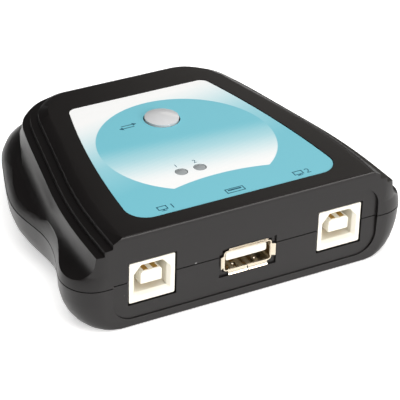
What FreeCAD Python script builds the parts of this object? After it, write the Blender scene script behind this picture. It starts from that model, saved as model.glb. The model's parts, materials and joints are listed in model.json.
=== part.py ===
import FreeCAD, Part
import math
import os
import re

import Sketcher
from FreeCAD import Placement, Vector

# Desktop USB switch that shares one device between two computers.
# Frame: +X right along the front, +Y from the front to the back, +Z up.
# Origin: on the surface the switch stands on, under the middle of its bounding box.

SIZES = [
    # case
    ("case_width", 91.6), ("case_depth", 79.7), ("case_height", 25.54), ("lower_share", 0.4765),
    ("wall", 2.0), ("ceiling", 1.8), ("corner_radius", 7.5), ("base_corner_radius", 3.5),
    ("base_roll", 8.9), ("base_fullness", 2.3), ("bulge_roll", 1.35), ("front_draft", 0.5),
    ("parting_gap", 0.25), ("lip_height", 1.4), ("lip_thickness", 0.9), ("lip_clearance", 0.1),
    ("lip_setback", 0.15),
    # left edge of the case at the parting line: how far in, and how far back as a share of the depth
    ("cheek_inset", 1.9), ("cheek_share", 0.184), ("waist_inset", 4.6), ("waist_share", 0.351),
    ("bulge_inset", 3.1), ("bulge_share", 0.501), ("flank_inset", 7.3), ("flank_share", 0.729),
    ("haunch_inset", 10.8), ("haunch_share", 0.846), ("rear_inset", 16.8), ("rear_share", 0.949),
    ("back_inset", 26.9),
    # ribs and shoulder of the upper half
    ("rib_count", 3), ("rib_inset", 5.6), ("rib_pitch", 2.05), ("rib_rise", 1.5), ("rib_riser", 1.3),
    ("rib_lean", 0.15), ("rib_drop", 4.24), ("nose_height", 0.9), ("lean_height", 4.0),
    ("crown_band", 2.5), ("shoulder_radius", 5.8), ("crown_skirt", 16.0),
    # shallow panel in the front face
    ("panel_side", 9.7), ("panel_bottom", 2.1), ("panel_drop", 4.74), ("panel_arch", 1.8),
    ("panel_corner", 5.5), ("panel_depth", 0.7),
    # overlay on the top
    ("label_front", 5.2), ("label_rear", 19.5), ("label_front_side", 17.5), ("label_middle_side", 20.3),
    ("label_back_side", 26.4), ("label_front_radius", 5.5), ("label_back_radius", 2.5),
    ("label_thickness", 0.25), ("label_pocket", 0.4), ("label_clearance", 0.15),
    # select button and its switch
    ("button_diameter", 8.8), ("button_gap", 0.3), ("button_share", 0.7436), ("button_proud", 1.1),
    ("button_rim", 0.35), ("button_flange", 1.4), ("button_flange_height", 0.8), ("button_hub", 6.0),
    ("flange_gap", 0.05), ("neck_height", 1.0), ("switch_width", 6.2), ("switch_height", 3.5),
    ("switch_cover", 0.3), ("well_floor", 0.7), ("dome_height", 0.8), ("dome_gap", 0.05),
    ("dome_lift", 0.9), ("dome_margin", 0.1), ("dome_crown", 0.88), ("strap_width", 2.0),
    ("plunger_diameter", 3.5), ("plunger_foot", 4.4), ("plunger_foot_height", 1.4),
    ("plunger_height", 13.0), ("plunger_gap", 0.2), ("plunger_grip", 4.0),
    # status lights
    ("light_diameter", 3.0), ("light_gap", 0.14), ("light_back", 20.65), ("light_pitch", 5.08),
    ("light_first", 7.8), ("light_height", 4.4), ("light_dome", 0.3), ("light_flange", 3.8),
    ("light_flange_height", 1.0), ("lead_size", 0.5), ("lead_pitch", 2.54), ("lead_tail", 1.2),
    ("spacer_diameter", 4.6), ("spacer_bore", 3.5),
    # sockets
    ("port_height", 11.6), ("pc_socket_side", 20.19), ("pc_socket_width", 12.0),
    ("pc_socket_height", 11.0), ("pc_socket_depth", 16.0), ("pc_socket_corner", 0.45),
    ("pc_mouth_width", 8.45), ("pc_mouth_height", 7.78), ("pc_mouth_rise", 0.49),
    ("pc_mouth_depth", 9.5), ("pc_mouth_chamfer", 1.7), ("pc_lead_in", 1.0), ("pc_lead_in_side", 0.72),
    ("pc_lead_in_top", 0.12), ("pc_lead_in_bottom", 0.6), ("pc_tongue_width", 5.5),
    ("pc_tongue_height", 3.4), ("pc_tongue_length", 9.1), ("pc_tongue_rise", 0.6),
    ("pc_tongue_chamfer", 0.55), ("pc_contact_width", 1.2), ("pc_contact_pitch", 2.5),
    ("pc_contact_setback", 0.5), ("contact_thickness", 0.2), ("socket_gap", 0.35),
    ("socket_setback", 0.25), ("shield_sheet", 0.3), ("shield_setback", 3.4), ("device_width", 13.1),
    ("device_height", 5.7), ("device_depth", 14.0), ("device_drop", 0.96), ("device_corner", 0.9),
    ("device_setback", 0.1), ("device_tongue_width", 11.1), ("device_tongue_height", 2.2),
    ("device_tongue_length", 9.1), ("device_tongue_drop", 0.75), ("device_tongue_corner", 0.5),
    ("device_block", 4.0), ("device_back_wall", 1.2), ("device_contact_width", 1.0),
    ("device_contact_pitch", 2.25), ("device_contact_setback", 1.0), ("device_gap", 0.15),
    ("lip_reach", 1.15), ("lip_reach_top", 0.8), ("lip_lean", 62.0), ("lip_corner", 1.2),
    ("lip_split", 0.15), ("device_pocket_width", 15.6), ("device_pocket_above", 3.7),
    ("device_pocket_below", 4.15), ("device_pocket_depth", 0.5), ("dimple_diameter", 1.3),
    ("dimple_back", 2.2), ("dimple_pitch", 6.0),
    # circuit board and what it carries
    ("board_side", 13.8), ("board_rear", 20.6), ("board_thickness", 1.6), ("board_corner", 2.0),
    ("board_front_gap", 0.4), ("chip_side", 9.0), ("chip_height", 1.2), ("chip_share", 0.552),
    ("chip_across", 15.0), ("chip_lift", 0.1), ("chip_leg_length", 0.9), ("chip_leg_size", 0.3),
    ("controller_pitch", 0.8), ("hub_pitch", 1.27), ("hub_width", 6.0), ("hub_length", 10.0),
    ("can_length", 11.0), ("can_width", 4.7), ("can_height", 3.6), ("can_across", 17.0),
    ("can_gap", 13.0), ("reservoir_diameter", 5.0), ("reservoir_height", 7.0), ("reservoir_across", 7.5),
    ("reservoir_rear", 6.0), ("small_length", 2.0), ("small_width", 1.25), ("small_height", 0.6),
    ("small_pitch", 3.0), ("small_gap", 0.4), ("capacitor_start", 24.0), ("capacitor_share", 0.786),
    ("resistor_start", 1.0), ("fuse_length", 4.6), ("fuse_width", 3.2), ("fuse_height", 1.0),
    ("fuse_start", 9.0), ("fuse_gap", 1.8),
    # fasteners and feet
    ("front_screw_side", 17.3), ("front_screw_back", 25.0), ("rear_screw_side", 25.8),
    ("rear_screw_inset", 14.5), ("screw_diameter", 2.8), ("screw_head", 5.2), ("screw_head_height", 1.6),
    ("screw_head_edge", 0.4), ("screw_reach", 12.0), ("screw_gap", 0.3), ("screw_clearance", 0.2),
    ("boss_wall", 1.8), ("boss_flare", 0.4), ("boss_gap", 0.3), ("boss_rise", 1.5), ("slot_length", 2.8),
    ("slot_width", 0.9), ("slot_depth", 0.9), ("board_screw_side", 5.0), ("board_screw_rear", 7.1),
    ("board_screw_reach", 3.4), ("board_screw_head", 4.6), ("board_screw_diameter", 2.2),
    ("board_screw_head_height", 1.4), ("board_slot_length", 2.4), ("post_wall", 1.6),
    ("support_across", 24.0), ("support_width", 8.0), ("support_depth", 1.5), ("support_back", 3.0),
    ("foot_proud", 0.4), ("foot_diameter", 8.0), ("foot_seat", 0.4), ("foot_clearance", 0.2),
    ("foot_edge", 0.3), ("foot_front_side", 19.8), ("foot_front_back", 11.0), ("foot_rear_side", 22.8),
    ("foot_rear_inset", 25.0),
]

# How far a cutter runs past the surface that it opens, and a reach that is larger than the whole case.
PAST = 1.0
FAR = 200.0

# Left edge of the lowest rib: how far in from where it meets the front, and how far back as a depth share.
RIB_EDGE = [(-0.2, -0.125), (0.0, 0.0), (0.4, 0.159), (1.9, 0.335), (5.1, 0.542),
            (8.7, 0.755), (11.4, 0.846), (14.3, 0.888), (19.1, 0.932), (24.8, 0.947)]

# How deep each outline of the lower half is, as a share of its height: closer where the side rolls in.
BASE_LEVELS = (0.0, 0.3, 0.5, 0.68, 0.82, 0.92, 0.98, 1.0)

# How much the wall above the parting line leans in at each point of the edge, per square millimetre.
WALL_LEAN = (0.07, 0.07, 0.07, 0.2, 0.3, 0.3, 0.25, 0.2)
WALL_LEVELS = (0.0, 0.4, 0.7, 0.9, 1.0)

# Steps of the hollow shoulder's quarter turn.
SHOULDER_STEPS = 6

doc = FreeCAD.newDocument("usb_switch")
sheet = doc.addObject("Spreadsheet::Sheet", "Sizes")
for row, (alias, number) in enumerate(SIZES, start=1):
    sheet.set(f"A{row}", alias)
    sheet.set(f"B{row}", str(number))
    sheet.setAlias(f"B{row}", alias)
doc.recompute()


def size(alias):
    """The number that the sheet holds under an alias."""
    return float(sheet.get(alias))


def bind(piece, target, text):
    """Ties a property to an expression in which each word is an alias of the sheet."""
    words = re.compile(r"[a-z][a-z_]*")
    piece.setExpression(target, words.sub(lambda word: f"Sizes.{word.group()}", text))


def place(piece, at):
    """Ties a piece's position to three expressions."""
    for axis, text in zip("xyz", at):
        bind(piece, f"Placement.Base.{axis}", text)


# Places that several pieces share, as expressions on the sheet.
FRONT = "(-case_depth / 2)"
TOP = "(foot_proud + case_height)"
UNDER_TOP = "(foot_proud + case_height - label_pocket - ceiling)"
PORT = "(foot_proud + port_height)"
BOARD_TOP = "(foot_proud + port_height - pc_socket_height / 2)"
BOARD_UNDER = "(foot_proud + port_height - pc_socket_height / 2 - board_thickness)"
BOARD_FRONT = "(-case_depth / 2 + panel_depth + wall + board_front_gap)"
BOARD_WIDTH = "(case_width - 2 * board_side)"
BOARD_DEPTH = "(case_depth - panel_depth - wall - board_front_gap - board_rear)"
BOARD_END = "(case_depth / 2 - board_rear)"
CHIP_Y = f"({BOARD_FRONT} + {BOARD_DEPTH} * chip_share)"
SOCKET_FACE = "(-case_depth / 2 + panel_depth + socket_setback)"
BUTTON_Y = "(-case_depth / 2 + label_front + (case_depth - label_front - label_rear) * button_share)"
LIGHT_Y = "(-case_depth / 2 + light_back)"


def front():
    return -size("case_depth") / 2


def back():
    return size("case_depth") / 2


def side():
    return -size("case_width") / 2


def lower_height():
    """Height of the lower half above the base."""
    return size("case_height") * size("lower_share")


def parting():
    return size("foot_proud") + lower_height()


def top():
    return size("foot_proud") + size("case_height")


def under_top():
    return top() - size("label_pocket") - size("ceiling")


def board_top():
    return size("foot_proud") + size("port_height") - size("pc_socket_height") / 2


def board_under():
    return board_top() - size("board_thickness")


# ---------------------------------------------------------------- simple document pieces

def block(name, dims, at):
    """A box of the Part workbench; dims and the low corner are expressions."""
    piece = doc.addObject("Part::Box", name)
    for target, text in zip(("Length", "Width", "Height"), dims):
        bind(piece, target, text)
    place(piece, at)
    return piece


def rod(name, radius, height, at):
    """A cylinder of the Part workbench standing on the point at."""
    piece = doc.addObject("Part::Cylinder", name)
    bind(piece, "Radius", radius)
    bind(piece, "Height", height)
    place(piece, at)
    return piece


def taper(name, low_radius, high_radius, height, at):
    """A cone of the Part workbench standing on the point at."""
    piece = doc.addObject("Part::Cone", name)
    bind(piece, "Radius1", low_radius)
    bind(piece, "Radius2", high_radius)
    bind(piece, "Height", height)
    place(piece, at)
    return piece


def fuse(name, shapes):
    piece = doc.addObject("Part::MultiFuse", name)
    piece.Shapes = shapes
    return piece


def cut(name, base, tool):
    piece = doc.addObject("Part::Cut", name)
    piece.Base = base
    piece.Tool = tool
    return piece


def common(name, base, tool):
    piece = doc.addObject("Part::Common", name)
    piece.Base = base
    piece.Tool = tool
    return piece


def group(name, shapes):
    """Separate identical solids that share one node."""
    piece = doc.addObject("Part::Compound", name)
    piece.Links = shapes
    return piece


def fixed_shape(name, shape):
    """A piece whose shape is worked out with Part's own functions."""
    piece = doc.addObject("Part::Feature", name)
    piece.Shape = shape
    piece.Placement = Placement()
    return piece


# ---------------------------------------------------------------- case outlines

def mirrored(point):
    return Vector(-point.x, point.y, point.z)


def closed_outline(points, start, finish, height):
    """Closed wire: the left edge through the points, its mirror image, and straight front and back edges."""
    left = [Vector(x, y, height) for x, y in points]
    edge = Part.BSplineCurve()
    edge.interpolate(Points=left, InitialTangent=Vector(*start, 0), FinalTangent=Vector(*finish, 0),
                     Scale=False)
    twin = Part.BSplineCurve()
    twin.interpolate(Points=[mirrored(p) for p in reversed(left)],
                     InitialTangent=Vector(finish[0], -finish[1], 0),
                     FinalTangent=Vector(start[0], -start[1], 0), Scale=False)
    back_edge = Part.makeLine(left[-1], mirrored(left[-1]))
    front_edge = Part.makeLine(mirrored(left[0]), left[0])
    return Part.Wire([edge.toShape(), back_edge, twin.toShape(), front_edge])


def moved_out(points, distances):
    """The points of an outline's left edge, each moved out along the edge's own normal."""
    moved = []
    last = len(points) - 1
    for index, (x, y) in enumerate(points):
        before = points[max(index - 1, 0)]
        after = points[min(index + 1, last)]
        along_x, along_y = after[0] - before[0], after[1] - before[1]
        if index == 0:
            along_x, along_y = 0.0, 1.0
        if index == last:
            along_x, along_y = 1.0, 0.0
        run = math.hypot(along_x, along_y)
        reach = distances[index]
        moved.append((x - reach * along_y / run, y + reach * along_x / run))
    return moved


def along(share):
    """Distance along the case for a share of its depth."""
    return front() + share * size("case_depth")


def flank_points():
    """Left edge of the case at the parting line, from the front corner to the start of the straight back."""
    points = [(side(), front() + size("corner_radius"))]
    for name in ("cheek", "waist", "bulge", "flank", "haunch", "rear"):
        points.append((side() + size(f"{name}_inset"), along(size(f"{name}_share"))))
    points.append((side() + size("back_inset"), back()))
    return points


def case_outline(height, insets, radius, front_inset=0.0):
    """Outline of the case at a height, moved in by one distance at each flank point, with a round corner."""
    flank = moved_out(flank_points(), [-inset for inset in insets])
    edge_x, edge_y = flank[0][0], front() + front_inset
    slant = radius * (1 - math.sqrt(0.5))
    corner = [(edge_x + radius, edge_y), (edge_x + slant, edge_y + slant), (edge_x, edge_y + radius)]
    return closed_outline(corner + flank[1:], (-1, 0), (1, 0), height)


def lower_hull(inset=0.0, front_inset=0.0, floor=0.0, draft=0.0):
    """The lower half as a solid: its sides roll in to a flat base, most under the bulge."""
    depth = lower_height() - floor
    fullness = size("base_fullness")
    lost_radius = size("corner_radius") - size("base_corner_radius")
    under_bulge = size("bulge_roll")
    rolls = [size("base_roll") * share for share in (1.0, 1.0, 1.0, under_bulge, under_bulge, 1.0, 1.0, 1.0)]
    wires = []
    for share in BASE_LEVELS:
        pull = 1 - (1 - share ** fullness) ** (1 / fullness)
        insets = [inset + roll * pull for roll in rolls]
        radius = size("corner_radius") - lost_radius * pull
        wires.append(case_outline(parting() - depth * share, insets, radius, front_inset + draft * share))
    return Part.makeLoft(wires, True, True)


def upper_hull(inset=0.0, front_inset=0.0):
    """The wall of the upper half as a solid: it leans in as the square of the height, most at the bulge."""
    wires = []
    for share in WALL_LEVELS:
        rise = share * size("lean_height")
        insets = [inset + pull * rise * rise for pull in WALL_LEAN]
        wires.append(case_outline(parting() + rise, insets, size("corner_radius"), front_inset))
    column = Part.Face(wires[-1]).extrude(Vector(0, 0, size("case_height")))
    return Part.makeLoft(wires, True, True).fuse(column).removeSplitter()


def rib_points():
    """Left edge of the lowest rib, from well ahead of the front face to the straight back."""
    return [(side() + size("rib_inset") + inset, along(share)) for inset, share in RIB_EDGE]


def crown_profile(thinning=0.0):
    """Distance out from the lowest rib's edge and height of each line of the upper surface, outermost first.

    thinning moves the surface in for the hollow, whose flat top is always at the ceiling's underside.
    """
    radius = size("shoulder_radius")
    rib_height = top() - size("rib_drop")
    foot_height = rib_height - size("nose_height")
    lean = size("rib_lean")
    skirt = size("crown_skirt")
    lines = [(skirt, parting()), (skirt, foot_height - radius)]
    for step in range(SHOULDER_STEPS + 1):
        turn = math.pi / 2 * step / SHOULDER_STEPS
        lines.append((lean + radius * (1 - math.sin(turn)), foot_height - radius * math.cos(turn)))
    for rib in range(int(size("rib_count"))):
        out = -rib * size("rib_pitch")
        height = rib_height + rib * size("rib_rise")
        if rib:
            lines.append((out + lean, height - size("rib_riser")))
        lines.append((out, height))
    thinned = [(out - thinning, max(height - thinning, parting())) for out, height in lines]
    flat_start = lines[-1][0] - size("crown_band") - thinning
    return thinned + [(flat_start, under_top() if thinning else top())]


def crown(thinning=0.0):
    """The ribs and the hollow shoulder as one solid, ruled from line to line."""
    wires = []
    for out, height in crown_profile(thinning):
        points = moved_out(rib_points(), [out] * len(rib_points()))
        wires.append(closed_outline(points, (0, 1), (1, 0), height))
    return Part.makeLoft(wires, True, True)


def upper_block():
    """Everything inside the outer surface of the upper half."""
    return upper_hull().common(crown())


def ring(inner_inset, outer_inset, low, high):
    """A rim that follows the outline at the parting line between two insets."""
    count = len(flank_points())

    def prism(inset):
        front_inset = inset + size("panel_depth")
        wire = case_outline(low, [inset] * count, size("corner_radius") - inset, front_inset)
        return Part.Face(wire).extrude(Vector(0, 0, high - low))

    return prism(outer_inset).cut(prism(inner_inset))


def lip_inset():
    """Inset of the locating lip's inner face, a little outside the wall's inner face."""
    return size("wall") - size("lip_setback")


def long_edges(solid):
    """The edges of a solid that run from front to back."""
    return [edge for edge in solid.Edges if abs(edge.tangentAt(edge.FirstParameter).y) > 0.99]


def front_panel():
    """Cutter for the shallow panel in the front face: straight foot, arched top, round corners."""
    half = size("case_width") / 2 - size("panel_side")
    low = size("foot_proud") + size("panel_bottom")
    high = top() - size("panel_drop")
    crest = high + size("panel_arch")
    start = front() - PAST
    outline = ((-half, low), (half, low), (half, high), (-half, high))
    corners = [Vector(x, start, z) for x, z in outline]
    arch = Part.Arc(corners[2], Vector(0, start, crest), corners[3]).toShape()
    edges = [Part.makeLine(corners[0], corners[1]), Part.makeLine(corners[1], corners[2]), arch,
             Part.makeLine(corners[3], corners[0])]
    cutter = Part.Face(Part.Wire(edges)).extrude(Vector(0, PAST + size("panel_depth"), 0))
    return cutter.makeFillet(size("panel_corner"), long_edges(cutter))


def overlay(growth, low, thickness):
    """Plate with the outline of the label: bowed sides that close in towards the back."""
    near = front() + size("label_front") - growth
    far = back() - size("label_rear") + growth
    middle = (near + far) / 2
    half = size("case_width") / 2 + growth
    wide = half - size("label_front_side")
    waist = half - size("label_middle_side")
    narrow = half - size("label_back_side")
    outline = ((-wide, near), (wide, near), (narrow, far), (-narrow, far))
    corners = [Vector(x, y, low) for x, y in outline]
    edges = [
        Part.makeLine(corners[0], corners[1]),
        Part.Arc(corners[1], Vector(waist, middle, low), corners[2]).toShape(),
        Part.makeLine(corners[2], corners[3]),
        Part.Arc(corners[3], Vector(-waist, middle, low), corners[0]).toShape(),
    ]
    plate = Part.Face(Part.Wire(edges)).extrude(Vector(0, 0, thickness))

    def upright(test):
        standing = [edge for edge in plate.Edges if abs(edge.tangentAt(edge.FirstParameter).z) > 0.99]
        return [edge for edge in standing if test(edge.CenterOfMass.y)]

    plate = plate.makeFillet(size("label_front_radius"), upright(lambda y: y < middle))
    return plate.makeFillet(size("label_back_radius"), upright(lambda y: y > middle))


def cylinder(radius, low, high, x, y):
    return Part.makeCylinder(radius, high - low, Vector(x, y, low))


def cuboid(x, y, z):
    """A box between three pairs of limits."""
    return Part.makeBox(x[1] - x[0], y[1] - y[0], z[1] - z[0], Vector(x[0], y[0], z[0]))


# ---------------------------------------------------------------- places

def light_places():
    """Middle of each status light, as x and y."""
    y = front() + size("light_back")
    return [(-size("light_first") + index * size("light_pitch"), y) for index in (0, 1)]


def button_place():
    """Middle of the button, as x and y."""
    label_length = size("case_depth") - size("label_front") - size("label_rear")
    return 0.0, front() + size("label_front") + label_length * size("button_share")


def four_places(front_side, front_back, rear_side, rear_inset):
    """Two places near the front and two near the back, by distances from the case's sides, front and back."""
    front_x, rear_x = side() + front_side, side() + rear_side
    front_y, rear_y = front() + front_back, back() - rear_inset
    return [(front_x, front_y), (-front_x, front_y), (rear_x, rear_y), (-rear_x, rear_y)]


def case_screw_places():
    return four_places(size("front_screw_side"), size("front_screw_back"),
                       size("rear_screw_side"), size("rear_screw_inset"))


def foot_places():
    return four_places(size("foot_front_side"), size("foot_front_back"),
                       size("foot_rear_side"), size("foot_rear_inset"))


def board_screw_places():
    x = size("case_width") / 2 - size("board_side") - size("board_screw_side")
    y = back() - size("board_rear") - size("board_screw_rear")
    return [(-x, y), (x, y)]


def socket_x(turn):
    """Middle of a computer socket; turn is -1 at the left and 1 at the right."""
    return turn * (size("case_width") / 2 - size("pc_socket_side"))


def boss_radius():
    return size("screw_diameter") / 2 + size("boss_wall")


def boss_meeting():
    """Height at which the upper and lower screw bosses meet."""
    return board_top() + size("boss_rise")


def socket_openings():
    """Cutters for the three sockets, through the front wall of both halves."""
    reach = (front() - PAST, front() + size("panel_depth") + size("wall") + size("lip_thickness") + PAST)
    gap = size("socket_gap")
    middle = size("foot_proud") + size("port_height")
    half_width = size("pc_socket_width") / 2 + gap
    half_height = size("pc_socket_height") / 2 + gap
    levels = (middle - half_height, middle + half_height)
    openings = []
    for turn in (-1, 1):
        x = socket_x(turn)
        openings.append(cuboid((x - half_width, x + half_width), reach, levels))
    device = middle - size("device_drop")
    half = size("device_width") / 2 + size("device_gap")
    rise = size("device_height") / 2 + size("device_gap")
    openings.append(cuboid((-half, half), reach, (device - rise, device + rise)))
    half = size("device_pocket_width") / 2
    pocket_end = front() + size("panel_depth") + size("device_pocket_depth")
    low, high = device - size("device_pocket_below"), device + size("device_pocket_above")
    openings.append(cuboid((-half, half), (reach[0], pocket_end), (low, high)))
    return openings


# ---------------------------------------------------------------- case halves

def boss_room():
    """Space that the upper screw bosses may fill: up to a little under the label pocket's floor."""
    return cuboid((-FAR, FAR), (-FAR, FAR), (0, top() - size("label_pocket") - size("ceiling") / 2))


def upper_hollow():
    """Space inside the upper half: its own outline moved in by the wall, under a flat ceiling."""
    wall = size("wall")
    front_wall = wall + size("panel_depth")
    room = cuboid((-FAR, FAR), (front() + front_wall, FAR), (0, under_top()))
    return upper_hull(wall, front_wall).common(crown(wall)).common(room)


def top_openings():
    """Cutters for the holes of the button and the lights, from the parting line up."""
    x, y = button_place()
    openings = [cylinder(size("button_diameter") / 2 + size("button_gap"), parting(), FAR, x, y)]
    for x, y in light_places():
        openings.append(cylinder(size("light_diameter") / 2 + size("light_gap"), parting(), FAR, x, y))
    return openings


def top_shell():
    """Upper half: ribbed crown, hollow inside, with the label pocket, holes and screw bosses."""
    shell = upper_block().cut(upper_hollow())
    shell = shell.common(cuboid((-FAR, FAR), (front(), FAR), (parting() + size("parting_gap"), FAR)))
    rebate_inset = lip_inset() - size("lip_thickness") - size("lip_clearance")
    rebate_top = parting() + size("lip_height") + size("lip_clearance")
    shell = shell.cut(ring(size("wall") + PAST, rebate_inset, parting() - PAST, rebate_top))
    bosses = [cylinder(boss_radius(), boss_meeting(), top(), x, y) for x, y in case_screw_places()]
    shell = shell.fuse([boss.common(boss_room()) for boss in bosses])
    cutters = socket_openings() + top_openings() + [front_panel()]
    cutters.append(overlay(size("label_clearance"), top() - size("label_pocket"), FAR))
    for x, y in case_screw_places():
        cutters.append(cylinder(size("screw_diameter") / 2, 0, screw_tip() + PAST, x, y))
    return shell.cut(cutters).removeSplitter()


def screw_seat():
    """Height of the case screws' heads' upper face, inside the lower half."""
    return size("foot_proud") + size("wall") + size("screw_head_height") / 2


def screw_tip():
    return screw_seat() + size("screw_reach")


def bottom_shell():
    """Lower half: rolled hull, floor, lip that locates the upper half, bosses, stand-offs and foot seats."""
    wall = size("wall")
    base = size("foot_proud")
    outside = lower_hull(draft=size("front_draft"))
    shell = outside.cut(lower_hull(wall, wall + size("panel_depth"), wall))
    lip_room = lip_inset() - size("lip_thickness")
    lip = ring(lip_inset(), lip_room, parting() - PAST, parting() + size("lip_height"))
    shell = shell.fuse(lip)
    boss, post = boss_radius() + size("boss_flare"), size("board_screw_diameter") / 2 + size("post_wall")
    bosses = [cylinder(boss, base, boss_meeting(), x, y) for x, y in case_screw_places()]
    posts = [cylinder(post, base + wall / 2, board_under(), x, y) for x, y in board_screw_places()]
    shell = shell.fuse(bosses + posts + front_supports())
    return shell.cut(socket_openings() + [front_panel()] + bottom_bores()).removeSplitter()


def bottom_bores():
    """Cutters for the case screws and their heads, the board screws and the seats of the feet."""
    clearance = size("screw_clearance")
    bores = []
    for x, y in case_screw_places():
        bores.append(cylinder(size("screw_head") / 2 + size("screw_gap"), -PAST, screw_seat(), x, y))
        bores.append(cylinder(size("screw_diameter") / 2 + clearance, -PAST, boss_meeting() + PAST, x, y))
    for x, y in board_screw_places():
        tip = board_top() - size("board_screw_reach")
        bores.append(cylinder(size("board_screw_diameter") / 2, tip, board_top(), x, y))
    for x, y in foot_places():
        radius = size("foot_diameter") / 2 + size("foot_clearance")
        bores.append(cylinder(radius, -PAST, size("foot_proud") + size("foot_seat"), x, y))
    return bores


def front_supports():
    """Two ribs on the floor under the front edge of the board."""
    levels = (size("foot_proud") + size("wall") / 2, board_under())
    start = front() + size("panel_depth") + size("wall") + size("board_front_gap") + size("support_back")
    half_width = size("support_width") / 2
    ribs = []
    for turn in (-1, 1):
        x = turn * size("support_across") / 2
        ribs.append(cuboid((x - half_width, x + half_width), (start, start + size("support_depth")), levels))
    return ribs


# ---------------------------------------------------------------- overlay, button and switch

def face_label():
    """Printed overlay with holes for the button and the lights."""
    low = top() - size("label_pocket")
    return overlay(0.0, low, size("label_thickness")).cut(top_openings())


def select_button():
    """Domed cap with a flange that stops it under the top and a hub that grips the plunger."""
    rim_height = "(button_rim + label_pocket + ceiling)"
    column = rod("cap_column", "button_diameter / 2", f"{rim_height} + button_proud",
                 ("0", BUTTON_Y, UNDER_TOP))
    ball = doc.addObject("Part::Sphere", "cap_ball")
    dome = "(button_proud - button_rim)"
    ball_radius = f"((button_diameter * button_diameter / 4 + {dome} * {dome}) / (2 * {dome}))"
    bind(ball, "Radius", ball_radius)
    place(ball, ("0", BUTTON_Y, f"{TOP} + button_proud - {ball_radius}"))
    cap = common("cap_dome", column, ball)
    flange = rod("cap_flange", "button_diameter / 2 + button_flange", "button_flange_height",
                 ("0", BUTTON_Y, f"{UNDER_TOP} - button_flange_height - flange_gap"))
    neck = rod("cap_neck", "button_hub / 2", "neck_height", ("0", BUTTON_Y, f"{UNDER_TOP} - neck_height / 2"))
    plunger_top = f"({BOARD_TOP} + plunger_height)"
    hub = rod("cap_hub", "button_hub / 2", f"{UNDER_TOP} - {plunger_top} + plunger_grip",
              ("0", BUTTON_Y, f"{plunger_top} - plunger_grip"))
    socket = rod("cap_socket", "plunger_diameter / 2", "plunger_grip",
                 ("0", BUTTON_Y, f"{plunger_top} - plunger_grip"))
    return cut("select_button", fuse("cap_solid", [cap, neck, flange, hub]), socket)


def switch_base():
    """Square plastic base of the push switch, with a round well for the dome and the plunger's foot."""
    outer = block("base_block", ("switch_width", "switch_width", "switch_height - switch_cover"),
                  ("-switch_width / 2", f"{BUTTON_Y} - switch_width / 2", BOARD_TOP))
    well = rod("base_well", "plunger_foot / 2 + plunger_gap", "switch_height",
               ("0", BUTTON_Y, f"{BOARD_TOP} + well_floor"))
    return cut("switch_base", outer, well)


def switch_frame():
    """Pressed metal cover over the switch base, with two side straps."""
    level = f"({BOARD_TOP} + switch_height - switch_cover)"
    plate = block("frame_plate", ("switch_width + 2 * switch_cover", "switch_width", "switch_cover"),
                  ("-switch_width / 2 - switch_cover", f"{BUTTON_Y} - switch_width / 2", level))
    straps = []
    for turn, start in (("left", "-switch_width / 2 - switch_cover"), ("right", "switch_width / 2")):
        dims = ("switch_cover", "strap_width", "switch_height - switch_cover")
        at = (start, f"{BUTTON_Y} - strap_width / 2", BOARD_TOP)
        straps.append(block(f"frame_strap_{turn}", dims, at))
    hole = rod("frame_hole", "plunger_diameter / 2 + plunger_gap", "3 * switch_cover",
               ("0", BUTTON_Y, f"{level} - switch_cover"))
    return cut("switch_frame", fuse("frame_solid", [plate] + straps), hole)


def switch_plunger():
    """Plunger with a foot that the cover keeps in."""
    lift = "(well_floor + dome_lift)"
    at = ("0", BUTTON_Y, f"{BOARD_TOP} + {lift}")
    stem = rod("plunger_stem", "plunger_diameter / 2", f"plunger_height - {lift}", at)
    foot = rod("plunger_foot_disc", "plunger_foot / 2", "plunger_foot_height", at)
    return fuse("switch_plunger", [stem, foot])


def switch_dome():
    """Snap dome between the base and the plunger's foot."""
    return taper("switch_dome", "plunger_foot / 2 - dome_margin", "dome_crown", "dome_height",
                 ("0", BUTTON_Y, f"{BOARD_TOP} + well_floor + dome_gap"))


# ---------------------------------------------------------------- status lights

def light_x(index):
    return f"(-light_first + {index} * light_pitch)"


def status_light(index):
    """Round light with a flange and a shallow dome that stands level with the overlay."""
    x = light_x(index)
    base = f"({TOP} - light_height)"
    flange = rod(f"light_flange_{index}", "light_flange / 2", "light_flange_height", (x, LIGHT_Y, base))
    barrel = rod(f"light_barrel_{index}", "light_diameter / 2", "light_height", (x, LIGHT_Y, base))
    radius = "((light_diameter * light_diameter / 4 + light_dome * light_dome) / (2 * light_dome))"
    ball = doc.addObject("Part::Sphere", f"light_ball_{index}")
    bind(ball, "Radius", radius)
    place(ball, (x, LIGHT_Y, f"{TOP} - {radius}"))
    dome = common(f"light_dome_{index}", barrel, ball)
    return fuse(f"status_light_{index + 1}", [flange, dome])


def light_leads():
    """Two square legs for each light, through the board."""
    legs = []
    for index in (0, 1):
        for turn in (-1, 1):
            x = f"{light_x(index)} + {turn} * lead_pitch / 2 - lead_size / 2"
            legs.append(block(f"leg_{index}_{turn + 1}",
                              ("lead_size", "lead_size", f"{TOP} - light_height - {BOARD_UNDER} + lead_tail"),
                              (x, f"{LIGHT_Y} - lead_size / 2", f"{BOARD_UNDER} - lead_tail")))
    return group("light_leads", legs)


def light_spacers():
    """Sleeves that hold the lights up at the top of the case."""
    sleeves = []
    for index in (0, 1):
        height = f"{TOP} - light_height - {BOARD_TOP}"
        outer = rod(f"sleeve_{index}", "spacer_diameter / 2", height, (light_x(index), LIGHT_Y, BOARD_TOP))
        bore = rod(f"sleeve_bore_{index}", "spacer_bore / 2", height, (light_x(index), LIGHT_Y, BOARD_TOP))
        sleeves.append(cut(f"sleeve_cut_{index}", outer, bore))
    return group("light_spacers", sleeves)


# ---------------------------------------------------------------- computer sockets

def pc_x(turn):
    """Middle of a computer socket as an expression; turn is -1 at the left and 1 at the right."""
    return f"({turn} * (case_width / 2 - pc_socket_side))"


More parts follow.
